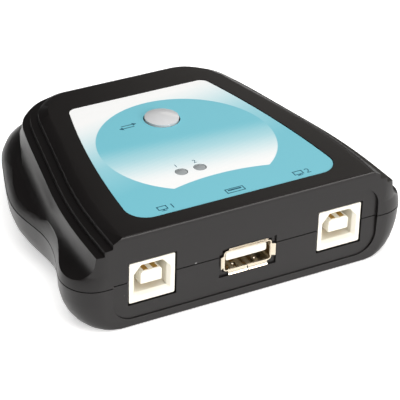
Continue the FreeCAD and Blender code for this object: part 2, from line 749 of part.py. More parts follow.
def mouth_wire(x, y, low, high, half_width, chamfer_x, chamfer_z):
    """Outline of a computer socket's mouth: a box whose two upper corners are cut."""
    corners = [(-half_width, low), (half_width, low), (half_width, high - chamfer_z),
               (half_width - chamfer_x, high), (chamfer_x - half_width, high),
               (-half_width, high - chamfer_z)]
    points = [Vector(x + across, y, z) for across, z in corners]
    return Part.makePolygon(points + [points[0]])


def pc_mouth_shape(x):
    """Space inside a computer socket's mouth, with a lead-in that widens towards the face."""
    face = front() + size("panel_depth") + size("socket_setback")
    middle = size("foot_proud") + size("port_height") + size("pc_mouth_rise")
    half_width, half_height = size("pc_mouth_width") / 2, size("pc_mouth_height") / 2
    chamfer = size("pc_mouth_chamfer")
    low, high = middle - half_height, middle + half_height
    side_gain = size("pc_lead_in_side")
    top_gain, bottom_gain = size("pc_lead_in_top"), size("pc_lead_in_bottom")
    throat = mouth_wire(x, face + size("pc_lead_in"), low, high, half_width, chamfer, chamfer)
    rim = mouth_wire(x, face, low - bottom_gain, high + top_gain, half_width + side_gain,
                     chamfer + side_gain / 2, chamfer + side_gain)
    room = Part.Face(throat).extrude(Vector(0, size("pc_mouth_depth") - size("pc_lead_in"), 0))
    return room.fuse(Part.makeLoft([rim, throat], True, True))


def pc_tongue_shape(x):
    """Tongue in the mouth, with its two upper edges cut."""
    face = front() + size("panel_depth") + size("socket_setback")
    middle = size("foot_proud") + size("port_height") + size("pc_tongue_rise")
    half_width, half_height = size("pc_tongue_width") / 2, size("pc_tongue_height") / 2
    chamfer = size("pc_tongue_chamfer")
    outline = mouth_wire(x, face + size("pc_mouth_depth") - size("pc_tongue_length"), middle - half_height,
                         middle + half_height, half_width, chamfer, chamfer)
    return Part.Face(outline).extrude(Vector(0, size("pc_tongue_length") + PAST, 0))


def pc_housing(number, turn):
    """Square plastic housing with a mouth that has two cut corners and a tongue inside."""
    x = socket_x(turn)
    half_width, half_height = size("pc_socket_width") / 2, size("pc_socket_height") / 2
    face = front() + size("panel_depth") + size("socket_setback")
    middle = size("foot_proud") + size("port_height")
    outer = cuboid((x - half_width, x + half_width), (face, face + size("pc_socket_depth")),
                   (middle - half_height, middle + half_height))
    outer = outer.makeFillet(size("pc_socket_corner"), long_edges(outer))
    shape = outer.cut(pc_mouth_shape(x)).fuse(pc_tongue_shape(x))
    shape = shape.cut([bar.Shape for bar in pc_contact_bars(f"pc_groove_{number}", pc_x(turn)).Links])
    return fixed_shape(f"pc_socket_{number}_housing", shape.removeSplitter())


def pc_contact_bars(name, x):
    """Four bars laid in the tongue's upper and lower faces."""
    bars = []
    start = f"{SOCKET_FACE} + pc_mouth_depth - pc_tongue_length + pc_contact_setback"
    for across in (-1, 1):
        for above in (-1, 1):
            level = "pc_tongue_height / 2 - contact_thickness" if above > 0 else "-pc_tongue_height / 2"
            dims = ("pc_contact_width", "pc_tongue_length - pc_contact_setback", "contact_thickness")
            at = (f"{x} + {across} * pc_contact_pitch / 2 - pc_contact_width / 2", start,
                  f"{PORT} + pc_tongue_rise + {level}")
            bars.append(block(f"{name}_{across + 1}_{above + 1}", dims, at))
    doc.recompute()
    return group(name, bars)


def pc_shield(number, turn):
    """Folded metal jacket over the top, sides and back of a housing."""
    x = pc_x(turn)
    start = f"({SOCKET_FACE} + shield_setback)"
    length = "(pc_socket_depth - shield_setback)"
    outer = block(f"jacket_{number}", ("pc_socket_width + 2 * shield_sheet", f"{length} + shield_sheet",
                                       "pc_socket_height + shield_sheet"),
                  (f"{x} - pc_socket_width / 2 - shield_sheet", start, BOARD_TOP))
    inner = block(f"jacket_room_{number}", ("pc_socket_width", f"{length} + 1", "pc_socket_height + 1"),
                  (f"{x} - pc_socket_width / 2", f"{start} - 1", f"{BOARD_TOP} - 1"))
    return cut(f"pc_socket_{number}_shield", outer, inner)


# ---------------------------------------------------------------- device socket

def device_middle():
    """Height of the middle of the device socket."""
    return size("foot_proud") + size("port_height") - size("device_drop")


def device_face():
    """How far back the mouth of the device socket's tube is."""
    return front() + size("panel_depth") + size("device_setback")


def rounded_tube(half_width, half_height, start, end, radius):
    """A solid bar along Y with round long edges, centred on the device socket."""
    middle = device_middle()
    bar = cuboid((-half_width, half_width), (start, end), (middle - half_height, middle + half_height))
    return bar.makeFillet(radius, long_edges(bar))


def device_lip(span, reach, distance, turn, shift=0.0):
    """A sprung lip that leans out from the mouth; turn says from which side, in degrees round the mouth."""
    metal = size("shield_sheet")
    plate = Part.makeBox(span, reach + metal, metal, Vector(-span / 2, -reach, -metal))
    plate.rotate(Vector(), Vector(1, 0, 0), -size("lip_lean"))
    plate.translate(Vector(shift, 0, distance))
    plate.rotate(Vector(), Vector(0, 1, 0), turn)
    plate.translate(Vector(0, device_face() + metal, device_middle()))
    return plate


def device_shell_shape():
    """The shell's shape: tube, lips leaning out round the mouth, and raised dimples in the floor."""
    metal = size("shield_sheet")
    half_width, half_height = size("device_width") / 2, size("device_height") / 2
    start, end = device_face(), device_face() + size("device_depth")
    radius = size("device_corner")
    tube = rounded_tube(half_width, half_height, start, end, radius)
    room = rounded_tube(half_width - metal, half_height - metal, start - PAST, end + PAST, radius - metal)
    corner, reach = size("lip_corner"), size("lip_reach")
    lips = [device_lip(2 * (half_width - corner), size("lip_reach_top"), half_height, 0)]
    lips += [device_lip(2 * (half_height - corner), reach, half_width, turn) for turn in (90, -90)]
    half_span = half_width - corner
    for way in (-1, 1):
        shift = way * (half_span + size("lip_split")) / 2
        lips.append(device_lip(half_span - size("lip_split"), reach, half_height, 180, shift))
    dimples = []
    for x in (-size("dimple_pitch") / 2, size("dimple_pitch") / 2):
        centre = Vector(x, start + size("dimple_back"), device_middle() - half_height)
        dimples.append(Part.makeSphere(size("dimple_diameter") / 2, centre).common(room))
    return tube.cut(room).fuse(lips + dimples).removeSplitter()


def device_tongue_shape():
    """White insulator: block at the back of the tube, tongue in its upper part and a foot on the board."""
    middle = device_middle()
    metal = size("shield_sheet")
    inner_width = size("device_width") - 2 * metal
    half_height = size("device_height") / 2 - metal
    end = device_face() + size("device_depth")
    block_start = end - size("device_block")
    stopper = rounded_tube(inner_width / 2, half_height, block_start, end, size("device_corner") - metal)
    high = middle + half_height - size("device_tongue_drop")
    half = size("device_tongue_width") / 2
    tongue = cuboid((-half, half), (block_start - size("device_tongue_length"), end - PAST),
                    (high - size("device_tongue_height"), high))
    tongue = tongue.makeFillet(size("device_tongue_corner"), long_edges(tongue))
    back_wall = cuboid((-inner_width / 2, inner_width / 2), (end, end + size("device_back_wall")),
                       (board_top(), middle + half_height))
    return stopper.fuse([tongue, back_wall]).cut(device_contact_shapes()).removeSplitter()


def device_contact_shapes():
    """Four bars under the tongue."""
    end = device_face() + size("device_depth")
    half_height = size("device_height") / 2 - size("shield_sheet")
    low = device_middle() + half_height - size("device_tongue_drop") - size("device_tongue_height")
    start = end - size("device_block") - size("device_tongue_length") + size("device_contact_setback")
    half = size("device_contact_width") / 2
    bars = []
    for index in range(4):
        x = (index - 1.5) * size("device_contact_pitch")
        bars.append(cuboid((x - half, x + half), (start, end - size("device_block") / 2),
                           (low, low + size("contact_thickness"))))
    return bars


def device_contacts():
    return fixed_shape("device_socket_contacts", Part.Compound(device_contact_shapes()))


# ---------------------------------------------------------------- board

def board_outline_sketch(body):
    """Rectangle of the board's width and depth, centred across the case."""
    plane = next(f for f in body.Origin.OriginFeatures if f.Role == "XY_Plane")
    sketch = body.newObject("Sketcher::SketchObject", "board_outline")
    sketch.AttachmentSupport = (plane, [""])
    sketch.MapMode = "FlatFace"
    half = size("case_width") / 2 - size("board_side")
    front_gap = size("panel_depth") + size("wall") + size("board_front_gap")
    depth = size("case_depth") - front_gap - size("board_rear")
    corners = [Vector(-half, 0, 0), Vector(half, 0, 0), Vector(half, depth, 0), Vector(-half, depth, 0)]
    for index in range(4):
        sketch.addGeometry(Part.LineSegment(corners[index], corners[(index + 1) % 4]), False)
    for index in range(4):
        sketch.addConstraint(Sketcher.Constraint("Coincident", index, 2, (index + 1) % 4, 1))
    for index, kind in ((1, "Vertical"), (2, "Horizontal"), (3, "Vertical")):
        sketch.addConstraint(Sketcher.Constraint(kind, index))
    sketch.addConstraint(Sketcher.Constraint("Symmetric", 0, 1, 0, 2, -2))
    sketch.addConstraint(Sketcher.Constraint("PointOnObject", 0, 1, -1))
    width = sketch.addConstraint(Sketcher.Constraint("DistanceX", 0, 1, 0, 2, 2 * half))
    length = sketch.addConstraint(Sketcher.Constraint("DistanceY", 1, 1, 1, 2, depth))
    bind(sketch, f"Constraints[{width}]", BOARD_WIDTH)
    bind(sketch, f"Constraints[{length}]", BOARD_DEPTH)
    return sketch


def circuit_board():
    """Board padded from its outline, with round corners, bored for the bosses, screws and light leads."""
    body = doc.addObject("PartDesign::Body", "board_body")
    sketch = board_outline_sketch(body)
    pad = body.newObject("PartDesign::Pad", "board_pad")
    pad.Profile = sketch
    bind(pad, "Length", "board_thickness")
    doc.recompute()
    upright = [f"Edge{i}" for i, e in enumerate(pad.Shape.Edges, start=1)
               if abs(e.tangentAt(e.FirstParameter).z) > 0.99]
    rounded = body.newObject("PartDesign::Fillet", "board_corners")
    rounded.Base = (pad, upright)
    bind(rounded, "Radius", "board_corner")
    body.Tip = rounded
    place(body, ("0", BOARD_FRONT, BOARD_UNDER))
    return cut("circuit_board", body, fuse("board_bores", board_bores()))


def board_bores():
    """Holes in the board for the front bosses, the board screws and the lights' legs."""
    boss_bore = "screw_diameter / 2 + boss_wall + boss_flare + boss_gap"
    screw_bore = "board_screw_diameter / 2 + screw_clearance"
    height, low = "3 * board_thickness", f"{BOARD_UNDER} - board_thickness"
    bores = []
    for turn in (-1, 1):
        boss_at = (f"{turn} * (case_width / 2 - front_screw_side)", f"{FRONT} + front_screw_back", low)
        screw_x = f"{turn} * ({BOARD_WIDTH} / 2 - board_screw_side)"
        screw_at = (screw_x, f"{BOARD_END} - board_screw_rear", low)
        bores.append(rod(f"boss_bore_{turn + 1}", boss_bore, height, boss_at))
        bores.append(rod(f"screw_bore_{turn + 1}", screw_bore, height, screw_at))
        for index in (0, 1):
            leg_at = (f"{light_x(index)} + {turn} * lead_pitch / 2", LIGHT_Y, low)
            bores.append(rod(f"lead_bore_{index}_{turn + 1}", "lead_size", height, leg_at))
    return bores


def chip(name, width, length, x, legs, pitch):
    """Moulded chip that stands on a row of legs along each long side."""
    body = block(f"{name}_body", (width, length, "chip_height"),
                 (f"{x} - {width} / 2", f"{CHIP_Y} - {length} / 2", f"{BOARD_TOP} + chip_lift"))
    feet = []
    for way, start in ((-1, f"{x} - {width} / 2 - chip_leg_length"), (1, f"{x} + {width} / 2")):
        for index in range(legs):
            steps = index - (legs - 1) / 2
            dims = ("chip_leg_length", "chip_leg_size", "chip_leg_size")
            at = (start, f"{CHIP_Y} + ({steps}) * {pitch} - chip_leg_size / 2", BOARD_TOP)
            feet.append(block(f"{name}_leg_{way + 1}_{index}", dims, at))
    return group(name, [fuse(f"{name}_whole", [body] + feet)])


def controller_chip():
    return chip("controller_chip", "chip_side", "chip_side", "chip_across", 10, "controller_pitch")


def hub_chip():
    return chip("hub_chip", "hub_width", "hub_length", "(-chip_across)", 8, "hub_pitch")


def crystal():
    """Oval metal can lying on the board."""
    radius = "can_width / 2"
    run = "(can_length - can_width)"
    y = f"({CHIP_Y} + can_gap)"
    middle = block("can_middle", (run, "can_width", "can_height"),
                   (f"can_across - {run} / 2", f"{y} - {radius}", BOARD_TOP))
    ends = []
    for turn in (-1, 1):
        at = (f"can_across + {turn} * {run} / 2", y, BOARD_TOP)
        ends.append(rod(f"can_end_{turn + 1}", radius, "can_height", at))
    return fuse("crystal", [middle] + ends)


def reservoir_capacitors():
    """Two round cans near the back of the board."""
    y = f"({BOARD_END} - reservoir_rear)"
    cans = [rod(f"reservoir_{turn + 1}", "reservoir_diameter / 2", "reservoir_height",
                (f"{turn} * reservoir_across", y, BOARD_TOP)) for turn in (-1, 1)]
    return group("reservoir_capacitors", cans)


def small_row(name, count, x, y):
    """A row of small chip parts across the board."""
    return group(name, [
        block(f"{name}_{index}", ("small_width", "small_length", "small_height"),
              (f"{x} + {index} * small_pitch", y, BOARD_TOP))
        for index in range(count)])


RESISTOR_Y = f"({CHIP_Y} - chip_side / 2 - small_gap - small_length)"


def chip_resistors():
    return small_row("chip_resistors", 5, "resistor_start", RESISTOR_Y)


def chip_capacitors():
    y = f"({BOARD_FRONT} + {BOARD_DEPTH} * capacitor_share)"
    return small_row("chip_capacitors", 5, "(-capacitor_start)", y)


def resettable_fuse():
    return block("resettable_fuse", ("fuse_length", "fuse_width", "fuse_height"),
                 ("fuse_start", f"{RESISTOR_Y} - fuse_gap - fuse_width", BOARD_TOP))


# ---------------------------------------------------------------- fasteners and feet

def cross_recess(x, y, length, levels):
    """Cutters for the two crossed slots in a screw's head."""
    half_length, half_width = length / 2, size("slot_width") / 2
    return [cuboid((x - half_length, x + half_length), (y - half_width, y + half_width), levels),
            cuboid((x - half_width, x + half_width), (y - half_length, y + half_length), levels)]


def case_screws():
    """Pan-head screws with a cross recess, driven up from below."""
    screws = []
    head_low = screw_seat() - size("screw_head_height")
    levels = (head_low - PAST, head_low + size("slot_depth"))
    for x, y in case_screw_places():
        inside_head = screw_seat() - size("screw_head_height") / 2
        shank = cylinder(size("screw_diameter") / 2, inside_head, screw_tip(), x, y)
        head = cylinder(size("screw_head") / 2, head_low, screw_seat(), x, y)
        rim = [edge for edge in head.Edges if abs(edge.CenterOfMass.z - head_low) < 0.01]
        rounded = head.makeFillet(size("screw_head_edge"), rim)
        screws.append(rounded.fuse(shank).cut(cross_recess(x, y, size("slot_length"), levels)))
    return Part.Compound(screws)


def board_screws():
    """Two short screws from above that hold the board to its posts."""
    screws = []
    head_top = board_top() + size("board_screw_head_height")
    levels = (head_top - size("slot_depth"), head_top + PAST)
    for x, y in board_screw_places():
        tip = board_top() - size("board_screw_reach")
        shank = cylinder(size("board_screw_diameter") / 2, tip, board_top() + size("slot_depth") / 2, x, y)
        head = cylinder(size("board_screw_head") / 2, board_top(), head_top, x, y)
        screws.append(head.fuse(shank).cut(cross_recess(x, y, size("board_slot_length"), levels)))
    return Part.Compound(screws)


def rubber_feet():
    """Four round feet stuck in shallow seats, with a rounded lower edge."""
    feet = []
    for x, y in foot_places():
        foot = cylinder(size("foot_diameter") / 2, 0, size("foot_proud") + size("foot_seat"), x, y)
        rim = [edge for edge in foot.Edges if edge.CenterOfMass.z < 0.01]
        feet.append(foot.makeFillet(size("foot_edge"), rim))
    return Part.Compound(feet)


# ---------------------------------------------------------------- assembly

def build():
    """Makes every sub-part and returns them by node name."""
    nodes = {
        "top_shell": fixed_shape("top_shell", top_shell()),
        "bottom_shell": fixed_shape("bottom_shell", bottom_shell()),
        "face_label": fixed_shape("face_label", face_label()),
        "select_button": select_button(),
        "switch_base": switch_base(),
        "switch_frame": switch_frame(),
        "switch_plunger": switch_plunger(),
        "switch_dome": switch_dome(),
        "status_light_1": status_light(0),
        "status_light_2": status_light(1),
        "light_leads": light_leads(),
        "light_spacers": light_spacers(),
        "device_socket_shell": fixed_shape("device_socket_shell", device_shell_shape()),
        "device_socket_tongue": fixed_shape("device_socket_tongue", device_tongue_shape()),
        "device_socket_contacts": device_contacts(),
        "circuit_board": circuit_board(),
        "controller_chip": controller_chip(),
        "hub_chip": hub_chip(),
        "crystal": crystal(),
        "reservoir_capacitors": reservoir_capacitors(),
        "chip_capacitors": chip_capacitors(),
        "chip_resistors": chip_resistors(),
        "resettable_fuse": resettable_fuse(),
        "case_screws": fixed_shape("case_screws", case_screws()),
        "board_screws": fixed_shape("board_screws", board_screws()),
        "rubber_feet": fixed_shape("rubber_feet", rubber_feet()),
    }
    for number, turn in ((1, -1), (2, 1)):
        nodes[f"pc_socket_{number}_housing"] = pc_housing(number, turn)
        nodes[f"pc_socket_{number}_shield"] = pc_shield(number, turn)
        nodes[f"pc_socket_{number}_contacts"] = pc_contact_bars(f"pc_socket_{number}_contacts", pc_x(turn))
    return nodes


def check(nodes):
    """Stops before anything is written if an object failed or a sub-part has no valid shape."""
    for item in doc.Objects:
        if "Invalid" in item.State or "Error" in item.State:
            raise RuntimeError(f"{item.Name} failed: {item.State}")
    for name, piece in nodes.items():
        if piece.Shape.isNull() or not piece.Shape.isValid() or not piece.Shape.Solids:
            raise RuntimeError(f"{name} has no valid solid")


def main():
    nodes = build()
    doc.recompute()
    check(nodes)
    os.makedirs("parts", exist_ok=True)
    for name, piece in nodes.items():
        piece.Label = name
        piece.Shape.exportStep(f"parts/{name}.step")
        print(name, len(piece.Shape.Solids), round(piece.Shape.Volume, 1))


main()
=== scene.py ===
"""Looks of the desktop USB switch: ribbed black case halves, cream and plated sockets, a printed label."""

import json
import math

import bmesh
import bpy
from mathutils import Matrix, Vector


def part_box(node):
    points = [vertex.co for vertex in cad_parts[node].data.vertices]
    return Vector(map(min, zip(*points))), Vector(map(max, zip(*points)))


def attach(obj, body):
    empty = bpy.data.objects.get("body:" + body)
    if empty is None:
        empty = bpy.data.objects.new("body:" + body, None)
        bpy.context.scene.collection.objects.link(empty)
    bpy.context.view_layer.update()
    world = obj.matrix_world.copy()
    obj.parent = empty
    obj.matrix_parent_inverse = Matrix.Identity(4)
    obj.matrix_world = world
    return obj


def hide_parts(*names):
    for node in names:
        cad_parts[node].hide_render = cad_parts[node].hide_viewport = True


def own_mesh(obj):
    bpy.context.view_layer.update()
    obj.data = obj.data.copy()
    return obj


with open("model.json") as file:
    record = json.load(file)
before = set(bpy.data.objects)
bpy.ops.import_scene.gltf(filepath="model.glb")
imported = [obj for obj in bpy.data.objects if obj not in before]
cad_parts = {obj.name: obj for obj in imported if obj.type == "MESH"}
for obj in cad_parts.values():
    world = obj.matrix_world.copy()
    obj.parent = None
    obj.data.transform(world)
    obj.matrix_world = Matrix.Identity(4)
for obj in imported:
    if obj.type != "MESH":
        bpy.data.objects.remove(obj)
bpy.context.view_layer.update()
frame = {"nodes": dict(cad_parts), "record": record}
nodes = frame["nodes"]

MM = 0.001

# Camera: the point it looks at and where it stands, in millimetres and degrees.
LOOK_AT = (-13.57, -39.15, 30.32)
AZIMUTH = -29.14
ELEVATION = 31.49
ROLL = 1.66
DISTANCE = 449.39
FOCAL_LENGTH = 175.15
SENSOR = 36.0

# The nearest and farthest things that the camera shows, in metres.
NEAREST = 0.01
FARTHEST = 20.0

# Soft boxes: place and size in metres, power in watts, colour. All are turned to face AIM.
SOFT_BOXES = {
    "overhead": ((-0.10, -0.25, 1.0), (1.1, 1.1), 12.0, (1.0, 0.985, 0.97)),
    "front_low": ((0.52, -1.13, 0.36), (0.9, 0.4), 10.0, (1.0, 0.97, 0.95)),
    "back_right": ((0.75, 0.95, 0.55), (0.5, 0.3), 0.5, (1.0, 0.95, 0.88)),
}
AIM = (0, 0, 0.015)
ROOM_COLOUR = (0.95, 1.0, 1.0, 1)
ROOM_STRENGTH = 0.05

# Floor, in metres: half its side, and how far out it starts and ends turning grey.
FLOOR_HALF = 2.0
FADE_START = 0.18
FADE_END = 0.42

# Case moulding: how many grains, clouds and specks of dust there are to the metre.
CASE_GRAINS = 5200.0
CASE_CLOUDS = 60.0
DUST_SPECKS = 120.0

# Relief that light catches on, in metres: the depth of a moulded or plated surface, and of the label's film.
TEXTURE_DEPTH = 0.00002
FILM_DEPTH = 0.00001

# The label's disc, in millimetres: its middle and radius, those of the arc that cuts off its front, and how
# far the ink bleeds over a printed edge. Both middles are on the line of symmetry.
DISC_MIDDLE = -7.2
DISC_RADIUS = 22.5
BOW_MIDDLE = -74.6
BOW_RADIUS = 50.75
BLEED = 0.15

# The two shaded prints of the label: a list of places from front to back, in millimetres, and the tint there.
# A print's span is what its ramp covers, its lean is how far it shifts to the front for each millimetre to the
# right, and its screen is how far the lines of the printing screen shift it.
DISC_TINTS = [(-22.0, 1.0), (-19.4, 0.93), (-16.6, 0.78), (-13.8, 0.62), (-11.0, 0.42), (-8.0, 0.28),
              (-5.0, 0.08), (-3.5, 0.0)]
DISC_SPAN = (-24.0, 0.0)
DISC_LEAN = 0.07
DISC_SCREEN = 1.6
GROUND_TINTS = [(-18.0, 0.0), (-12.0, 0.12), (-5.0, 0.24), (1.0, 0.45), (6.0, 0.66), (12.0, 0.9), (16.0, 1.0)]
GROUND_SPAN = (-24.0, 20.0)
GROUND_LEAN = -0.2
GROUND_SCREEN = 1.2
SCREEN_LINES = 700.0

# Plain finishes: darkest and lightest shade, roughness, and 1 for a metal.
MOTTLES = 400.0
PLAIN_FINISHES = {
    "button_plastic": ((205, 206, 208), (216, 217, 219), 0.16),
    "light_lens": ((140, 146, 148), (165, 170, 172), 0.3),
    "socket_plastic": ((236, 232, 218), (248, 245, 234), 0.35),
    "label_ink": ((24, 84, 104), (34, 98, 118), 0.4),
    "contact_gilt": ((214, 168, 88), (236, 200, 120), 0.25, 1.0),
    "plated_sheet": ((198, 186, 166), (222, 212, 194), 0.2, 1.0),
    "board_laminate": ((20, 92, 48), (28, 112, 60), 0.35),
    "black_moulding": ((20, 20, 20), (32, 32, 32), 0.5),
    "plunger_plastic": ((222, 218, 206), (236, 232, 220), 0.4),
    "tinned_wire": ((190, 190, 188), (214, 214, 212), 0.3, 1.0),
    "screw_steel": ((150, 150, 152), (180, 180, 182), 0.35, 1.0),
    "foot_rubber": ((24, 24, 24), (36, 36, 36), 0.85),
    "can_aluminium": ((190, 190, 194), (215, 215, 218), 0.3, 1.0),
    "ceramic_part": ((168, 140, 104), (188, 160, 122), 0.5),
}

# Rounded edges, in millimetres and degrees: what counts as one point, as flat and as sharp, how near the top
# and the front of the case its front edge lies, the face of the sunk front panel, and how deep the front
# edge's rounding is as a share of its height.
MERGED = 0.002
FLAT_ANGLE = 1.0
SHARP_ANGLE = 28
NEAR_EDGE = 0.05
PANEL_FACE = -38.9
EDGE_DEPTH_SHARE = 0.35

# Printed marks, in millimetres: their middles on the label, their line, the height of the numbers, the size
# of a font for each millimetre of that height, and the thickness of the ink.
SOCKET_MARKS = {"1": -18.2, "2": 18.7}
LIGHT_MARKS = {"1": -7.8, "2": -2.72}
LIGHT_MARKS_Y = -16.3
FLAT_SOCKET_MARK_X = -0.2
SOCKET_MARKS_Y = -32.15
EXCHANGE_MARK = (-9.6, 6.2)
MARK_LINE = 0.28
SOCKET_DIGIT = 2.0
LIGHT_DIGIT = 1.4
FONT_SIZE = 1.4
INK = 0.012


# ---------------------------------------------------------------- stage

def make_camera():
    """A long lens from the front left, a third of the way up."""
    data = bpy.data.cameras.new("camera")
    data.lens = FOCAL_LENGTH
    data.sensor_width = SENSOR
    data.clip_start = NEAREST
    data.clip_end = FARTHEST
    camera = bpy.data.objects.new("camera", data)
    bpy.context.scene.collection.objects.link(camera)
    azimuth = math.radians(AZIMUTH)
    elevation = math.radians(ELEVATION)
    roll = math.radians(ROLL)
    back = Vector((math.sin(azimuth) * math.cos(elevation),
                   -math.cos(azimuth) * math.cos(elevation),
                   math.sin(elevation)))
    level = (-back).cross(Vector((0, 0, 1))).normalized()
    upright = level.cross(-back).normalized()
    right = level * math.cos(roll) + upright * math.sin(roll)
    up = upright * math.cos(roll) - level * math.sin(roll)
    turn = Matrix((right, up, back)).transposed().to_4x4()
    place = (Vector(LOOK_AT) + back * DISTANCE) * MM
    camera.matrix_world = Matrix.Translation(place) @ turn
    bpy.context.scene.camera = camera


def make_floor(finish):
    """A wide pale floor under the feet."""
    mesh = bpy.data.meshes.new("floor")
    shape = bmesh.new()
    bmesh.ops.create_grid(shape, x_segments=2, y_segments=2, size=FLOOR_HALF)
    shape.to_mesh(mesh)
    shape.free()
    mesh.materials.append(finish)
    floor = bpy.data.objects.new("floor", mesh)
    bpy.context.scene.collection.objects.link(floor)


def add_soft_box(name, place, size, power, tone):
    """A rectangular studio light, turned to face the object."""
    data = bpy.data.lights.new(name, "AREA")
    data.shape = "RECTANGLE"
    data.size, data.size_y = size
    data.energy = power
    data.color = tone
    light = bpy.data.objects.new(name, data)
    light.location = place
    light.rotation_mode = "QUATERNION"
    light.rotation_quaternion = (Vector(AIM) - Vector(place)).to_track_quat("-Z", "Y")
    bpy.context.scene.collection.objects.link(light)


def make_lights():
    """A wide soft box overhead, a long one low in front, a faint one behind, and a dim room."""
    for name, (place, size, power, tone) in SOFT_BOXES.items():
        add_soft_box(name, place, size, power, tone)
    world = bpy.data.worlds.new("room")
    world.use_nodes = True
    background = world.node_tree.nodes["Background"]
    background.inputs["Color"].default_value = ROOM_COLOUR
    background.inputs["Strength"].default_value = ROOM_STRENGTH
    bpy.context.scene.world = world
    bpy.context.scene.view_settings.view_transform = "Standard"


# ---------------------------------------------------------------- materials

class Value:
    """A number that varies over a surface. Arithmetic on it adds the Math nodes."""

    def __init__(self, finish, socket):
        self.finish = finish
        self.socket = socket

    def math(self, operation, *terms):
        """The result of a Math node on values or plain numbers, in the node's own order."""
        return self.finish.node("ShaderNodeMath", {"operation": operation}, dict(enumerate(terms)))

    def __add__(self, other):
        return self.math("ADD", self, other)

    def __radd__(self, other):
        return self.math("ADD", other, self)

    def __sub__(self, other):
        return self.math("SUBTRACT", self, other)

    def __rsub__(self, other):
        return self.math("SUBTRACT", other, self)

    def __mul__(self, other):
        return self.math("MULTIPLY", self, other)

    def __rmul__(self, other):
        return self.math("MULTIPLY", other, self)

    def __truediv__(self, other):
        return self.math("DIVIDE", self, other)

    def __rtruediv__(self, other):
        return self.math("DIVIDE", other, self)

    def root(self):
        return self.math("SQRT", self)

    def rise(self, start, end):
        """0 below start, 1 above end, and a smooth ramp between; start may be above end."""
        return self.finish.node(
            "ShaderNodeMapRange", {"interpolation_type": "SMOOTHSTEP"},
            {"Value": self, "From Min": start, "From Max": end, "To Min": 0.0, "To Max": 1.0}, "Result")


class Finish:
    """One material: a Principled shader and the nodes that feed it."""

    # A Mix node's sockets when it blends colours: its factor, its two colours and its result.
    MIX_SHARE = 0
    MIX_FIRST = 6
    MIX_SECOND = 7
    MIX_RESULT = 2

    def __init__(self, name, **constants):
        self.material = bpy.data.materials.new(name)
        self.material.use_nodes = True
        self.tree = self.material.node_tree
        self.shader = self.tree.nodes["Principled BSDF"]
        for socket, value in constants.items():
            self.shader.inputs[socket.replace("_", " ")].default_value = value

    def node(self, kind, settings, inputs, output=0):
        """Adds a node, gives it its settings, then the values or links of its inputs; returns one output."""
        made = self.tree.nodes.new(kind)
        for key, value in settings.items():
            if key == "stops":
                self.set_stops(made.color_ramp, value)
            else:
                setattr(made, key, value)
        for key, value in inputs.items():
            if isinstance(value, Value):
                self.tree.links.new(value.socket, made.inputs[key])
            else:
                made.inputs[key].default_value = value
        return Value(self, made.outputs[output])

    def set_stops(self, ramp, stops):
        """Gives a colour ramp its stops, each a position from 0 to 1 and a colour."""
        while len(ramp.elements) > 1:
            ramp.elements.remove(ramp.elements[-1])
        ramp.elements[0].position, ramp.elements[0].color = stops[0]
        for position, shade in stops[1:]:
            ramp.elements.new(position).color = shade

    def feed(self, socket, value):
        """Links a varying value to the shader."""
        self.tree.links.new(value.socket, self.shader.inputs[socket])

    def place(self):
        """The point on the object, in metres."""
        return self.node("ShaderNodeTexCoord", {}, {}, "Object")

    def axis(self, point, name):
        """One coordinate of a point."""
        return self.node("ShaderNodeSeparateXYZ", {}, {"Vector": point}, name)

    def stretched(self, point, scale):
        """The point with its pattern scaled by three factors."""
        return self.node("ShaderNodeMapping", {}, {"Vector": point, "Scale": scale})

    def noise(self, point, scale, detail=3.0):
        """A cloudy pattern between 0 and 1."""
        return self.node("ShaderNodeTexNoise", {}, {"Vector": point, "Scale": scale, "Detail": detail}, "Fac")

    def mix(self, share, first, second):
        """A blend of two colours."""
        inputs = {self.MIX_SHARE: share, self.MIX_FIRST: first, self.MIX_SECOND: second}
        return self.node("ShaderNodeMix", {"data_type": "RGBA"}, inputs, self.MIX_RESULT)

    def bump(self, height, strength, distance):
        """A relief from a height between 0 and 1."""
        normal = self.node("ShaderNodeBump", {},
                           {"Height": height, "Strength": strength, "Distance": distance})
        self.feed("Normal", normal)


def colour(red, green, blue):
    """The linear values that a shader needs, of a colour given in screen levels from 0 to 255."""
    def linear(level):
        share = level / 255
        return share / 12.92 if share <= 0.04045 else ((share + 0.055) / 1.055) ** 2.4
    return (linear(red), linear(green), linear(blue), 1.0)


def case_plastic():
    """Black moulding with a fine spark-eroded texture and a little dust."""
    finish = Finish("case_plastic", Specular_IOR_Level=0.36)
    point = finish.place()
    grain = finish.noise(point, CASE_GRAINS, detail=2.0)
    cloud = finish.noise(point, CASE_CLOUDS)
    clean = finish.mix(cloud, colour(15, 12, 12), colour(21, 18, 18))
    from_speck = finish.node("ShaderNodeTexVoronoi", {"feature": "F1"},
                             {"Vector": point, "Scale": DUST_SPECKS}, "Distance")
    dust = from_speck.rise(0.045, 0.02)
    finish.feed("Base Color", finish.mix(dust * 0.35, clean, colour(200, 200, 200)))
    finish.feed("Roughness", 0.29 + cloud * 0.07 + grain * 0.05)
    finish.bump(grain, 0.25, TEXTURE_DEPTH)
    return finish.material


def floor_finish():
    """A pale floor that glows a little, so that shadows stay faint, and turns grey away from the object."""
    finish = Finish("floor_paint", Roughness=0.9, Specular_IOR_Level=0.2, Emission_Strength=0.56)
    point = finish.place()
    cloud = finish.noise(point, 8.0)
    across = finish.axis(point, "X")
    along = finish.axis(point, "Y")
    away = (across * across + along * along).root().rise(FADE_START, FADE_END)
    white = finish.mix(cloud, colour(248, 248, 248), colour(253, 253, 253))
    finish.feed("Base Color", finish.mix(away, white, colour(160, 160, 160)))
    finish.feed("Emission Color", finish.mix(away, colour(255, 255, 255), colour(120, 120, 120)))
    return finish.material


def tint(share):
    """The label's print, from cyan at 0 to white at 1."""
    return colour(121 + 133 * share, 199 + 56 * share, 215 + 40 * share)


